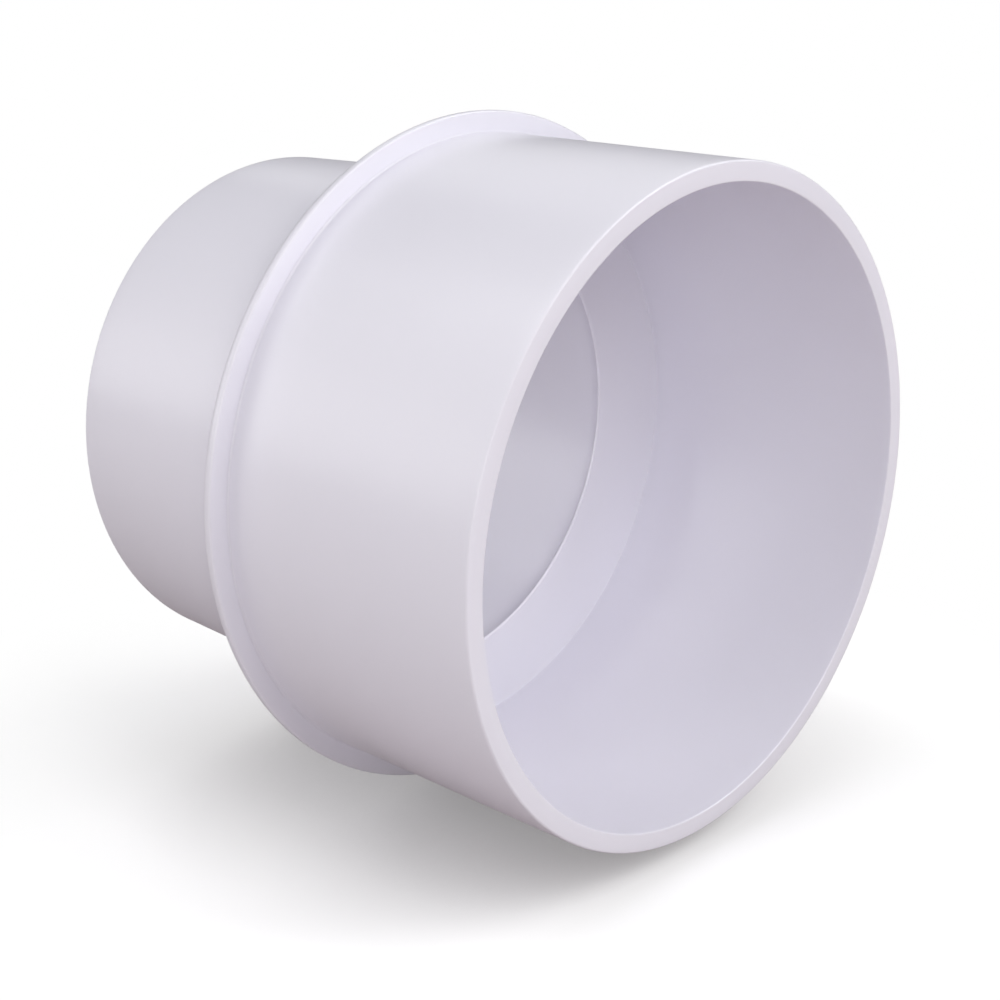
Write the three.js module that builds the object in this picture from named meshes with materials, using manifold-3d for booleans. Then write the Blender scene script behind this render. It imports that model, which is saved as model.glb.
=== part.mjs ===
// Eccentric reducer for plastic drain pipe: a large socket hub and a smaller socket hub joined
// by a collar plate, with the small hub set to one side of the large hub's axis.
// Millimetres, +Z up. The fitting lies on its side on the plane z = 0, with its axis along X and
// the large mouth facing +X. The origin is under the middle of the bounding box.
import * as THREE from 'three';
import * as BufferGeometryUtils from 'three/addons/utils/BufferGeometryUtils.js';
import Module from 'manifold-3d';

// Overall
const overallLength = 97.7;
const facets = 72;                      // flat sides round every turned surface
const roundSteps = 3;                   // flats across every rounded edge
const seamGap = 0.3;                    // room for solvent cement between pieces that touch
const weldTolerance = 1e-4;
const cutOverrun = 1;                   // how far a cutter passes the face it cuts through

// Large hub: a socket for pipe of 107.1 mm outside diameter
const largeMouthOuterRadius = 57.0;
const largeRootOuterRadius = 57.4;      // the outside widens a little toward the collar
const largeMouthBoreRadius = 53.6;
const largeRootBoreRadius = 52.8;       // the socket tapers in so that the pipe wedges tight
const largeSocketDepth = 53.9;
const largeMouthOuterRound = 0.4;
const rootFlareRadius = 0.4;            // fillet that spreads the hub's foot onto the collar

// Collar plate: the outer collar and the eccentric shoulder that both pipes stop against
const collarOuterRadius = 61.15;
const plateThickness = 2.4;
const shoulderDepth = 1.2;              // the shoulder is sunk below the collar's front
const shoulderOuterRadius = 52.7;       // just inside the hub's bore, so that nothing hangs over it
const collarFrontRound = 0.4;
const collarBackRound = 1.5;
const throughBoreRadius = 41.7;
const throughBoreLeadIn = 0.3;          // chamfer on the front of the waterway's edge
const throughBoreRelief = 0.8;          // chamfer on its back, which leaves the edge thin
const footGrooveDepth = 0.4;            // the small hub's foot is let into the back of the plate

// Tongue on the plate and the groove it sits in, hidden in the foot of the large hub
const tongueInnerRadius = 54.5;
const tongueOuterRadius = 56.0;
const tongueHeight = 2.2;

// Small hub: a socket for pipe of 88.9 mm outside diameter
const smallMouthOuterRadius = 46.9;
const smallRootOuterRadius = 47.8;
const smallMouthBoreRadius = 44.7;
const smallRootBoreRadius = 44.4;
const smallMouthOuterRound = 0.4;

// How far, and which way, the small hub is set off the large hub's axis
const eccentricity = 7.7;
const offsetAboveLevelDegrees = 24.8;   // measured up from -Y, as the fitting lies

// Stations along the axis
const largeMouthX = overallLength / 2;
const shoulderX = largeMouthX - largeSocketDepth;
const plateFrontX = shoulderX + shoulderDepth;
const plateBackX = plateFrontX - plateThickness;
const footGrooveX = plateBackX + footGrooveDepth;
const smallMouthX = -overallLength / 2;

// The collar rests on one of its flat sides, so the axis is one flat's distance above the floor
const halfFacetAngle = Math.PI / facets;
const axisHeight = collarOuterRadius * Math.cos(halfFacetAngle);
const offsetAngle = THREE.MathUtils.degToRad(offsetAboveLevelDegrees);
const offsetY = -eccentricity * Math.cos(offsetAngle);
const offsetZ = eccentricity * Math.sin(offsetAngle);

const manifold = await Module();
manifold.setup();

const whitePvc = new THREE.MeshStandardMaterial({
  color: 0xe6e3ec,
  roughness: 0.32,
  metalness: 0.0,
});

// Points on a quarter circle round a corner, from one angle to another, as [x, radius] pairs.
function arc(centreX, centreRadius, radius, fromDegrees, toDegrees) {
  const points = [];
  for (let i = 0; i <= roundSteps; i += 1) {
    const degrees = fromDegrees + ((toDegrees - fromDegrees) * i) / roundSteps;
    const angle = THREE.MathUtils.degToRad(degrees);
    points.push([centreX + radius * Math.cos(angle), centreRadius + radius * Math.sin(angle)]);
  }
  return points;
}

// Turn a closed outline of [x, radius] pairs round the X axis. The outline runs so that the solid
// comes out the right way: forward along the outside, then back along the bore.
function turned(outline) {
  const profile = outline.map(([x, radius]) => new THREE.Vector2(radius, x));
  profile.push(profile[0].clone());
  const geometry = new THREE.LatheGeometry(profile, facets, halfFacetAngle);
  geometry.rotateZ(-Math.PI / 2);
  return geometry;
}

function toSolid(geometry) {
  geometry.deleteAttribute('normal');
  geometry.deleteAttribute('uv');
  const welded = BufferGeometryUtils.mergeVertices(geometry, weldTolerance);
  const mesh = new manifold.Mesh({
    numProp: 3,
    vertProperties: Float32Array.from(welded.attributes.position.array),
    triVerts: Uint32Array.from(welded.index.array),
  });
  return new manifold.Manifold(mesh);
}

function toGeometry(solid) {
  const mesh = solid.getMesh();
  const geometry = new THREE.BufferGeometry();
  geometry.setAttribute('position', new THREE.BufferAttribute(mesh.vertProperties, 3));
  geometry.setIndex(new THREE.BufferAttribute(mesh.triVerts, 1));
  geometry.computeVertexNormals();
  return geometry;
}

// Tapered socket with a flat-ended mouth, a flared foot, and a groove in the foot for the tongue.
function largeHub() {
  const footX = plateFrontX + seamGap;
  const grooveInnerRadius = tongueInnerRadius - seamGap;
  const grooveOuterRadius = tongueOuterRadius + seamGap;
  const grooveBottomX = plateFrontX + tongueHeight + seamGap;
  const flareX = footX + rootFlareRadius;
  const flareRadius = largeRootOuterRadius + rootFlareRadius;
  const mouthRoundX = largeMouthX - largeMouthOuterRound;
  const mouthRoundRadius = largeMouthOuterRadius - largeMouthOuterRound;
  return turned([
    ...arc(flareX, flareRadius, rootFlareRadius, 180, 270),
    ...arc(mouthRoundX, mouthRoundRadius, largeMouthOuterRound, 90, 0),
    [largeMouthX, largeMouthBoreRadius],
    [footX, largeRootBoreRadius],
    [footX, grooveInnerRadius],
    [grooveBottomX, grooveInnerRadius],
    [grooveBottomX, grooveOuterRadius],
    [footX, grooveOuterRadius],
  ]);
}

// The disc with its rounded collar edge and, on its front, the tongue for the large hub and the
// sunk shoulder that the large pipe stops against.
function plateDisc() {
  const backRoundX = plateBackX + collarBackRound;
  const backRoundRadius = collarOuterRadius - collarBackRound;
  return turned([
    [plateBackX, 0],
    ...arc(backRoundX, backRoundRadius, collarBackRound, 180, 90),
    [plateFrontX - collarFrontRound, collarOuterRadius],
    [plateFrontX, collarOuterRadius - collarFrontRound],
    [plateFrontX, tongueOuterRadius],
    [plateFrontX + tongueHeight, tongueOuterRadius],
    [plateFrontX + tongueHeight, tongueInnerRadius],
    [plateFrontX, tongueInnerRadius],
    [plateFrontX, shoulderOuterRadius],
    [shoulderX, shoulderOuterRadius],
    [shoulderX, 0],
  ]);
}

// The ring cut into the back of the disc, a seam gap wider each side than the small hub's foot.
// The face left inside it is the stop for the small pipe.
function footGroove() {
  const innerRadius = smallRootBoreRadius - seamGap;
  const outerRadius = smallRootOuterRadius + seamGap;
  return turned([
    [plateBackX - cutOverrun, innerRadius],
    [plateBackX - cutOverrun, outerRadius],
    [footGrooveX, outerRadius],
    [footGrooveX, innerRadius],
  ]);
}

// What is taken out for the waterway, flared at the front and more at the back, so that its edge
// is a thin nose.
function throughBore() {
  const backFlareRadius = throughBoreRadius + throughBoreRelief + cutOverrun;
  const frontFlareRadius = throughBoreRadius + throughBoreLeadIn + cutOverrun;
  return turned([
    [plateBackX - cutOverrun, 0],
    [plateBackX - cutOverrun, backFlareRadius],
    [plateBackX + throughBoreRelief, throughBoreRadius],
    [shoulderX - throughBoreLeadIn, throughBoreRadius],
    [shoulderX + cutOverrun, frontFlareRadius],
    [shoulderX + cutOverrun, 0],
  ]);
}

function collarPlate() {
  const disc = toSolid(plateDisc());
  const groove = toSolid(footGroove()).translate([0, offsetY, offsetZ]);
  const bore = toSolid(throughBore()).translate([0, offsetY, offsetZ]);
  return toGeometry(disc.subtract(groove).subtract(bore));
}

// Tapered socket with a flat-ended mouth. Its foot sits in the groove in the collar plate's back.
function smallHub() {
  const footX = footGrooveX - seamGap;
  const mouthRoundX = smallMouthX + smallMouthOuterRound;
  const mouthRoundRadius = smallMouthOuterRadius - smallMouthOuterRound;
  const geometry = turned([
    [smallMouthX, smallMouthBoreRadius],
    ...arc(mouthRoundX, mouthRoundRadius, smallMouthOuterRound, 180, 90),
    [footX, smallRootOuterRadius],
    [footX, smallRootBoreRadius],
  ]);
  geometry.translate(0, offsetY, offsetZ);
  return geometry;
}

const reducer = new THREE.Group();
reducer.name = 'eccentric_reducer';

function addPiece(name, geometry) {
  const piece = new THREE.Mesh(geometry, whitePvc);
  piece.name = name;
  piece.position.z = axisHeight;
  reducer.add(piece);
}

addPiece('large_socket_hub', largeHub());
addPiece('eccentric_collar_plate', collarPlate());
addPiece('small_socket_hub', smallHub());

export default reducer;
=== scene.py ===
"""Looks for the eccentric reducer: finely turned shells over the CAD frame, white PVC, soft light.

Everything is in metres in the CAD's frame: the pipe axis runs along X, the large mouth faces +X,
and the fitting lies on its side on the floor at z = 0.
"""

import math

import bmesh
import bpy
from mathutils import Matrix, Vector


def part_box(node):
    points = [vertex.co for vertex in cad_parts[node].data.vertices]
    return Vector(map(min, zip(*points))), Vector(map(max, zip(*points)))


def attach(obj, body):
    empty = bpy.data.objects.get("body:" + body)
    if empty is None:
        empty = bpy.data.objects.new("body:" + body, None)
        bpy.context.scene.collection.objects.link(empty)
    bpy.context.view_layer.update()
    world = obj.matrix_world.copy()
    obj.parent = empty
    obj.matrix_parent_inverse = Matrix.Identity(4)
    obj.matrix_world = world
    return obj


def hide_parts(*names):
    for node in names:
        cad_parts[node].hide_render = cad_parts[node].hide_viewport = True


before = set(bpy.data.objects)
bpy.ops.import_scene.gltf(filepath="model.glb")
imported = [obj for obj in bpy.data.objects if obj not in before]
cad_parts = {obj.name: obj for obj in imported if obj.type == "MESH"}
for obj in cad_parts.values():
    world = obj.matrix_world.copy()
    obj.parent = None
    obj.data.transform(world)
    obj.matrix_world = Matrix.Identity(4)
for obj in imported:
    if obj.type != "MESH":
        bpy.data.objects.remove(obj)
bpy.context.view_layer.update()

MM = 0.001
LARGE_HUB = "large_socket_hub"
COLLAR_PLATE = "eccentric_collar_plate"
SMALL_HUB = "small_socket_hub"
SEAM = 0.3 * MM                 # the CAD's gap between pieces that touch
HAIRLINE = 0.01 * MM            # what the eye sees of a cemented seam

# Stations along the axis, taken from the CAD's own boxes
mouth_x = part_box(LARGE_HUB)[1][0]
small_mouth_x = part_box(SMALL_HUB)[0][0]
plate_back_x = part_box(COLLAR_PLATE)[0][0]
plate_front_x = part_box(LARGE_HUB)[0][0] - SEAM
groove_floor_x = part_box(SMALL_HUB)[1][0] + SEAM


def middle(node):
    """The (y, z) of a turned CAD node's axis, which is the middle of its box."""
    low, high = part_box(node)
    return (low[1] + high[1]) / 2, (low[2] + high[2]) / 2


MAIN_AXIS = middle(LARGE_HUB)
SMALL_AXIS = middle(SMALL_HUB)

# Radii of the real round surfaces
MOUTH_OUTER = 57.0 * MM
ROOT_OUTER = 57.4 * MM
MOUTH_BORE = 53.6 * MM
ROOT_BORE = 52.75 * MM          # as far in as the CAD's flats
COLLAR_OUTER = MAIN_AXIS[1]     # the collar stands on the floor
THROUGH_BORE = 41.7 * MM
SMALL_MOUTH_OUTER = 46.9 * MM
SMALL_ROOT_OUTER = 47.8 * MM
SMALL_MOUTH_BORE = 44.7 * MM
SMALL_ROOT_BORE = 44.4 * MM
TONGUE_INNER = 54.5 * MM
TONGUE_OUTER = 56.0 * MM

# Depths, fillets and rounded edges
TONGUE_HEIGHT = 2.2 * MM
SHOULDER_DEPTH = 1.2 * MM
FOOT_FLARE = 0.4 * MM
FOOT_LIP = 0.05 * MM            # upright edge left under the hub's hollow fillet
BORE_LEAD_IN = 0.3 * MM
BORE_RELIEF = 0.8 * MM
OUTER_EDGE = 0.4 * MM           # mouths' outer edges and the collar's front
BORE_EDGE = 0.25 * MM           # mouths' inner edges
COLLAR_BACK_EDGE = 1.5 * MM
SHOULDER_CORNER = 0.15 * MM     # hollow corner where the shoulder meets the large bore
SHOULDER_EDGE = 0.2 * MM
NOSE_EDGE = 0.05 * MM           # both edges of the waterway's thin nose
RELIEF_EDGE = 0.3 * MM
FOOT_EDGE = 0.1 * MM            # small hub's foot, and the mouth of the groove that takes it

# How finely the shells are turned
SIDES = 288                     # flats round each shell, too many to see
ARC_STEP = math.radians(12)     # finest turn of a rounded edge
SPAN = 2.5 * MM                 # longest plain stretch of an outline between two rings
FLARE_STEPS = 8
STRAIGHT = 1e-3                 # a corner that turns less than this, in radians, isn't rounded
CREASE_ANGLE = math.radians(30)  # turns sharper than this stay sharp

# White PVC
PVC_DARKER = (0.818, 0.804, 0.882, 1)
PVC_LIGHTER = (0.838, 0.824, 0.902, 1)
FLOW_MARK_SCALE = 22.0          # broad clouds left by the moulding
SMOOTHEST = 0.27
ROUGHEST = 0.36
SKIN_SCALE = 900.0
SKIN_STRENGTH = 0.05
SKIN_HEIGHT = 0.05 * MM
PVC_IOR = 1.53
SCATTER_SHARE = 0.08
SCATTER_DEPTH = 2.0 * MM

# Floor
FLOOR_HALF = 3.0
FLOOR_BOUNCE = (0.44, 0.38, 0.385, 1)   # what the floor throws back at the fitting
PAINTED_FLOOR_GLOW = 0.30                       # painted glow of the floor near the fitting, which lifts its shadows clear of dark grey
SHADE_REACH = 40 * MM                   # how far from the fitting its painted contact shade spreads
SHADE_FULL = 0.10                       # openness to the sky where that painted shade is deepest
SHADE_GONE = 1.00
SHADE_DARKEST = 0.60
SHADOW_HOLDS_TO = 60 * MM               # from the middle of the floor
SHADOW_ENDS_AT = 130 * MM

# Lights and surround
LIGHT_DISTANCE = 1.0
STRIP = (0.55, 0.35)            # width and height of a light panel
SQUARE = (0.6, 0.6)
SURROUND_SEEN = 1.0
SURROUND_FELT = 0.03            # the little light that the white surround adds
WHITE = (1.0, 1.0, 1.0, 1.0)

# Camera
CAMERA_AT = (0.2054, -0.2148, 0.1495)
CAMERA_LOOKS_AT = (0.00223, -0.00116, 0.05378)
FOCAL_LENGTH = 61.75            # in millimetres, as is the sensor
SENSOR_WIDTH = 36.0
NEAR_CLIP = 0.01
FAR_CLIP = 20.0


# Turned shells

class Corner:
    """A corner of a turned outline: its station, radius, rounding, and the axis it turns about."""

    def __init__(self, x, radius, round_to=0.0, axis=MAIN_AXIS):
        self.x = x
        self.radius = radius
        self.round_to = round_to
        self.axis = axis


def rounded(corners):
    """Rings [(x, radius, axis)] along a closed outline, each corner rounded to its own radius."""
    rings = []
    count = len(corners)
    for i, corner in enumerate(corners):
        here = Vector((corner.x, corner.radius))
        before = corners[i - 1]
        after = corners[(i + 1) % count]
        back = Vector((before.x, before.radius)) - here
        ahead = Vector((after.x, after.radius)) - here
        turn = math.pi - back.angle(ahead)
        if corner.round_to <= 0 or turn < STRAIGHT:
            rings.append((here.x, here.y, corner.axis))
            continue
        reach = corner.round_to * math.tan(turn / 2)
        start = here + back.normalized() * reach
        end = here + ahead.normalized() * reach
        inward = (back.normalized() + ahead.normalized()).normalized()
        centre = here + inward * (corner.round_to / math.cos(turn / 2))
        steps = max(2, math.ceil(turn / ARC_STEP))
        first = start - centre
        last = end - centre
        for k in range(steps + 1):
            share = k / steps
            first_part = math.sin((1 - share) * turn) / math.sin(turn)
            last_part = math.sin(share * turn) / math.sin(turn)
            point = centre + first * first_part + last * last_part
            rings.append((point.x, point.y, corner.axis))
    return rings


def spaced(rings):
    """The same rings with more between any two that are far apart, so that no face is long."""
    out = []
    count = len(rings)
    for i in range(count):
        x0, r0, axis0 = rings[i]
        x1, r1, axis1 = rings[(i + 1) % count]
        pieces = max(1, math.ceil(math.hypot(x1 - x0, r1 - r0) / SPAN))
        for k in range(pieces):
            t = k / pieces
            axis = (axis0[0] + (axis1[0] - axis0[0]) * t, axis0[1] + (axis1[1] - axis0[1]) * t)
            out.append((x0 + (x1 - x0) * t, r0 + (r1 - r0) * t, axis))
    return out


def ring_of_points(mesh_maker, x, radius, axis):
    y, z = axis
    points = []
    for side in range(SIDES):
        angle = 2 * math.pi * side / SIDES
        place = (x, y + radius * math.cos(angle), z + radius * math.sin(angle))
        points.append(mesh_maker.verts.new(place))
    return points


def turned_shell(name, corners, replaced_node):
    """A closed solid of revolution from an outline, riding on the root in place of a CAD node."""
    mesh_maker = bmesh.new()
    loops = [ring_of_points(mesh_maker, *ring) for ring in spaced(rounded(corners))]
    for i, loop in enumerate(loops):
        following = loops[(i + 1) % len(loops)]
        for side in range(SIDES):
            neighbour = (side + 1) % SIDES
            mesh_maker.faces.new((
                loop[side],
                loop[neighbour],
                following[neighbour],
                following[side],
            ))
    bmesh.ops.recalc_face_normals(mesh_maker, faces=mesh_maker.faces)
    mesh = bpy.data.meshes.new(name)
    mesh_maker.to_mesh(mesh)
    mesh_maker.free()
    mesh.shade_smooth()
    mesh.set_sharp_from_angle(angle=CREASE_ANGLE)
    piece = bpy.data.objects.new(name, mesh)
    bpy.context.scene.collection.objects.link(piece)
    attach(piece, "root")
    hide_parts(replaced_node)
    return piece


def hollow_fillet(foot_x, barrel_radius, size, lip):
    """Corners of a quarter-circle fillet that spreads a barrel's foot onto the face it stands on."""
    corners = []
    for k in range(FLARE_STEPS + 1):
        angle = math.pi / 2 * k / FLARE_STEPS
        corners.append(Corner(
            foot_x + lip + size * (1 - math.cos(angle)),
            barrel_radius + size * (1 - math.sin(angle)),
        ))
    return corners


def build_large_hub():
    """Tapered socket with a flat-ended mouth, and a groove in its foot for the plate's tongue."""
    foot_x = plate_front_x + HAIRLINE
    groove_bottom = plate_front_x + TONGUE_HEIGHT + HAIRLINE
    return turned_shell("large_hub", [
        Corner(foot_x, ROOT_OUTER + FOOT_FLARE),
        *hollow_fillet(foot_x, ROOT_OUTER, FOOT_FLARE, FOOT_LIP),
        Corner(mouth_x, MOUTH_OUTER, OUTER_EDGE),
        Corner(mouth_x, MOUTH_BORE, BORE_EDGE),
        Corner(foot_x, ROOT_BORE),
        Corner(foot_x, TONGUE_INNER - HAIRLINE),
        Corner(groove_bottom, TONGUE_INNER - HAIRLINE),
        Corner(groove_bottom, TONGUE_OUTER + HAIRLINE),
        Corner(foot_x, TONGUE_OUTER + HAIRLINE),
    ], LARGE_HUB)


def build_collar_plate():
    """Collar outside, sunk crescent shoulder inside, and the waterway about the small axis."""
    shoulder_x = plate_front_x - SHOULDER_DEPTH
    tongue_x = plate_front_x + TONGUE_HEIGHT
    groove_inner = SMALL_ROOT_BORE - HAIRLINE
    groove_outer = SMALL_ROOT_OUTER + HAIRLINE
    return turned_shell("collar_plate", [
        Corner(plate_front_x, COLLAR_OUTER, OUTER_EDGE),
        Corner(plate_front_x, TONGUE_OUTER),
        Corner(tongue_x, TONGUE_OUTER),
        Corner(tongue_x, TONGUE_INNER),
        Corner(plate_front_x, TONGUE_INNER),
        Corner(plate_front_x, ROOT_BORE),
        Corner(shoulder_x, ROOT_BORE, SHOULDER_CORNER),
        Corner(shoulder_x, THROUGH_BORE + BORE_LEAD_IN, SHOULDER_EDGE, SMALL_AXIS),
        Corner(shoulder_x - BORE_LEAD_IN, THROUGH_BORE, NOSE_EDGE, SMALL_AXIS),
        Corner(plate_back_x + BORE_RELIEF, THROUGH_BORE, NOSE_EDGE, SMALL_AXIS),
        Corner(plate_back_x, THROUGH_BORE + BORE_RELIEF, RELIEF_EDGE, SMALL_AXIS),
        Corner(plate_back_x, groove_inner, FOOT_EDGE, SMALL_AXIS),
        Corner(groove_floor_x, groove_inner, 0.0, SMALL_AXIS),
        Corner(groove_floor_x, groove_outer, 0.0, SMALL_AXIS),
        Corner(plate_back_x, groove_outer, FOOT_EDGE, SMALL_AXIS),
        Corner(plate_back_x, COLLAR_OUTER, COLLAR_BACK_EDGE),
    ], COLLAR_PLATE)


def build_small_hub():
    """Tapered socket whose foot sits in the groove in the plate's back."""
    foot_x = groove_floor_x - HAIRLINE
    return turned_shell("small_hub", [
        Corner(foot_x, SMALL_ROOT_OUTER, FOOT_EDGE, SMALL_AXIS),
        Corner(foot_x, SMALL_ROOT_BORE, FOOT_EDGE, SMALL_AXIS),
        Corner(small_mouth_x, SMALL_MOUTH_BORE, BORE_EDGE, SMALL_AXIS),
        Corner(small_mouth_x, SMALL_MOUTH_OUTER, OUTER_EDGE, SMALL_AXIS),
    ], SMALL_HUB)


# Materials

def new_material(name):
    material = bpy.data.materials.new(name)
    material.use_nodes = True
    nodes = material.node_tree.nodes
    links = material.node_tree.links
    nodes.clear()
    output = nodes.new("ShaderNodeOutputMaterial")
    shader = nodes.new("ShaderNodeBsdfPrincipled")
    links.new(shader.outputs["BSDF"], output.inputs["Surface"])
    return material, nodes, links, shader


def white_pvc():
    """Moulded white PVC: almost even colour, satin gloss, faint flow marks and a fine skin."""
    material, nodes, links, shader = new_material("white_pvc")
    place = nodes.new("ShaderNodeTexCoord")

    flow_marks = nodes.new("ShaderNodeTexNoise")
    flow_marks.inputs["Scale"].default_value = FLOW_MARK_SCALE
    flow_marks.inputs["Detail"].default_value = 3.0
    links.new(place.outputs["Object"], flow_marks.inputs["Vector"])

    tint = nodes.new("ShaderNodeValToRGB")
    tint.color_ramp.elements[0].position = 0.3
    tint.color_ramp.elements[0].color = PVC_DARKER
    tint.color_ramp.elements[1].position = 0.7
    tint.color_ramp.elements[1].color = PVC_LIGHTER
    links.new(flow_marks.outputs["Fac"], tint.inputs["Fac"])
    links.new(tint.outputs["Color"], shader.inputs["Base Color"])

    gloss = nodes.new("ShaderNodeMapRange")
    gloss.inputs["To Min"].default_value = SMOOTHEST
    gloss.inputs["To Max"].default_value = ROUGHEST
    links.new(flow_marks.outputs["Fac"], gloss.inputs["Value"])
    links.new(gloss.outputs["Result"], shader.inputs["Roughness"])

    skin = nodes.new("ShaderNodeTexNoise")
    skin.inputs["Scale"].default_value = SKIN_SCALE
    skin.inputs["Detail"].default_value = 2.0
    links.new(place.outputs["Object"], skin.inputs["Vector"])
    bump = nodes.new("ShaderNodeBump")
    bump.inputs["Strength"].default_value = SKIN_STRENGTH
    bump.inputs["Distance"].default_value = SKIN_HEIGHT
    links.new(skin.outputs["Fac"], bump.inputs["Height"])
    links.new(bump.outputs["Normal"], shader.inputs["Normal"])

    shader.inputs["IOR"].default_value = PVC_IOR
    shader.inputs["Subsurface Weight"].default_value = SCATTER_SHARE
    shader.inputs["Subsurface Scale"].default_value = SCATTER_DEPTH
    shader.inputs["Subsurface Radius"].default_value = (1.0, 1.0, 1.0)
    return material


def one_look_for_the_eye(nodes, links, seen, felt, surface):
    """Give the camera's own rays one shader and all the light that bounces another."""
    rays = nodes.new("ShaderNodeLightPath")
    choose = nodes.new("ShaderNodeMixShader")
    links.new(rays.outputs["Is Camera Ray"], choose.inputs[0])
    links.new(felt, choose.inputs[1])
    links.new(seen, choose.inputs[2])
    links.new(choose.outputs["Shader"], surface)


def floor_with_painted_shade(nodes, links):
    """Floor lit by the lamps, with their cast shadows, plus a painted glow; close to the fitting a
    contact shade is painted into both from ambient occlusion.
    """
    openness = nodes.new("ShaderNodeAmbientOcclusion")
    openness.inputs["Distance"].default_value = SHADE_REACH
    # Painted contact shade: the floor's colour darkens with ambient occlusion near the fitting.
    painted_shade = nodes.new("ShaderNodeMapRange")
    painted_shade.inputs["From Min"].default_value = SHADE_FULL
    painted_shade.inputs["From Max"].default_value = SHADE_GONE
    painted_shade.inputs["To Min"].default_value = SHADE_DARKEST
    lit = nodes.new("ShaderNodeBsdfDiffuse")
    # Painted glow: the floor near the fitting gives off light, darkened by the same painted contact
    # shade.
    painted_glow = nodes.new("ShaderNodeEmission")
    painted_glow.inputs["Strength"].default_value = PAINTED_FLOOR_GLOW
    both = nodes.new("ShaderNodeAddShader")
    links.new(openness.outputs["AO"], painted_shade.inputs["Value"])
    links.new(painted_shade.outputs["Result"], lit.inputs["Color"])
    links.new(painted_shade.outputs["Result"], painted_glow.inputs["Color"])
    links.new(lit.outputs["BSDF"], both.inputs[0])
    links.new(painted_glow.outputs["Emission"], both.inputs[1])
    return both.outputs["Shader"]


def fading_to_white(nodes, links, near):
    """The given shader round the middle of the floor, and plain white further out."""
    place = nodes.new("ShaderNodeNewGeometry")
    distance = nodes.new("ShaderNodeVectorMath")
    distance.operation = "LENGTH"
    fade = nodes.new("ShaderNodeMapRange")
    fade.interpolation_type = "SMOOTHSTEP"
    fade.inputs["From Min"].default_value = SHADOW_HOLDS_TO
    fade.inputs["From Max"].default_value = SHADOW_ENDS_AT
    white = nodes.new("ShaderNodeEmission")
    blend = nodes.new("ShaderNodeMixShader")
    links.new(place.outputs["Position"], distance.inputs[0])
    links.new(distance.outputs["Value"], fade.inputs["Value"])
    links.new(fade.outputs["Result"], blend.inputs[0])
    links.new(near, blend.inputs[1])
    links.new(white.outputs["Emission"], blend.inputs[2])
    return blend.outputs["Shader"]


def floor_paper():
    """White paper that is a duller reflector than it looks, so as not to light the underside."""
    material, nodes, links, reflector = new_material("floor_paper")
    reflector.inputs["Base Color"].default_value = FLOOR_BOUNCE
    reflector.inputs["Roughness"].default_value = 0.9
    reflector.inputs["Specular IOR Level"].default_value = 0.1
    seen = fading_to_white(nodes, links, floor_with_painted_shade(nodes, links))
    surface = nodes["Material Output"].inputs["Surface"]
    one_look_for_the_eye(nodes, links, seen, reflector.outputs["BSDF"], surface)
    return material


# Setting

def build_floor():
    far = FLOOR_HALF
    mesh = bpy.data.meshes.new("floor")
    mesh.from_pydata(
        [(-far, -far, 0), (far, -far, 0), (far, far, 0), (-far, far, 0)],
        [],
        [(0, 1, 2, 3)],
    )
    floor = bpy.data.objects.new("floor", mesh)
    bpy.context.scene.collection.objects.link(floor)
    floor.data.materials.append(floor_paper())


def aim(thing, at):
    direction = Vector(at) - thing.location
    thing.rotation_euler = direction.to_track_quat("-Z", "Y").to_euler()


def panel(name, bearing, elevation, size, power):
    """A soft light facing the fitting. The bearing is in degrees anticlockwise from +X."""
    level = LIGHT_DISTANCE * math.cos(math.radians(elevation))
    centre = Vector((0, 0, MAIN_AXIS[1]))
    offset = Vector((
        level * math.cos(math.radians(bearing)),
        level * math.sin(math.radians(bearing)),
        LIGHT_DISTANCE * math.sin(math.radians(elevation)),
    ))
    data = bpy.data.lights.new(name, "AREA")
    data.shape = "RECTANGLE"
    data.size = size[0]
    data.size_y = size[1]
    data.energy = power
    light = bpy.data.objects.new(name, data)
    light.location = centre + offset
    bpy.context.scene.collection.objects.link(light)
    aim(light, centre)


def build_lights():
    panel("front_strip", -46, 12, STRIP, 2.9)
    panel("left_front_strip", -91, 12, STRIP, 1.3)
    panel("left_strip", -136, 12, STRIP, 1.3)
    panel("left_box", -136, 38, SQUARE, 1.4)
    panel("left_overhead_box", -136, 64, SQUARE, 2.2)
    panel("behind_box", 134, 38, SQUARE, 0.8)
    panel("mouth_side_box", -1, 38, SQUARE, 3.3)
    panel("right_box", 44, 38, SQUARE, 4.7)


def build_world():
    """A white surround to the eye that adds only a little light of its own."""
    world = bpy.data.worlds.new("studio")
    world.use_nodes = True
    nodes = world.node_tree.nodes
    links = world.node_tree.links
    seen = nodes["Background"]
    seen.inputs["Color"].default_value = WHITE
    seen.inputs["Strength"].default_value = SURROUND_SEEN
    felt = nodes.new("ShaderNodeBackground")
    felt.inputs["Color"].default_value = WHITE
    felt.inputs["Strength"].default_value = SURROUND_FELT
    surface = nodes["World Output"].inputs["Surface"]
    one_look_for_the_eye(
        nodes, links, seen.outputs["Background"], felt.outputs["Background"], surface,
    )
    bpy.context.scene.world = world


def build_camera():
    data = bpy.data.cameras.new("camera")
    data.sensor_width = SENSOR_WIDTH
    data.lens = FOCAL_LENGTH
    data.clip_start = NEAR_CLIP
    data.clip_end = FAR_CLIP
    camera = bpy.data.objects.new("camera", data)
    camera.location = CAMERA_AT
    bpy.context.scene.collection.objects.link(camera)
    aim(camera, CAMERA_LOOKS_AT)
    bpy.context.scene.camera = camera


pvc = white_pvc()
for shell in (build_large_hub(), build_collar_plate(), build_small_hub()):
    shell.data.materials.append(pvc)
build_floor()
build_lights()
build_world()
build_camera()
bpy.context.scene.view_settings.view_transform = "Standard"
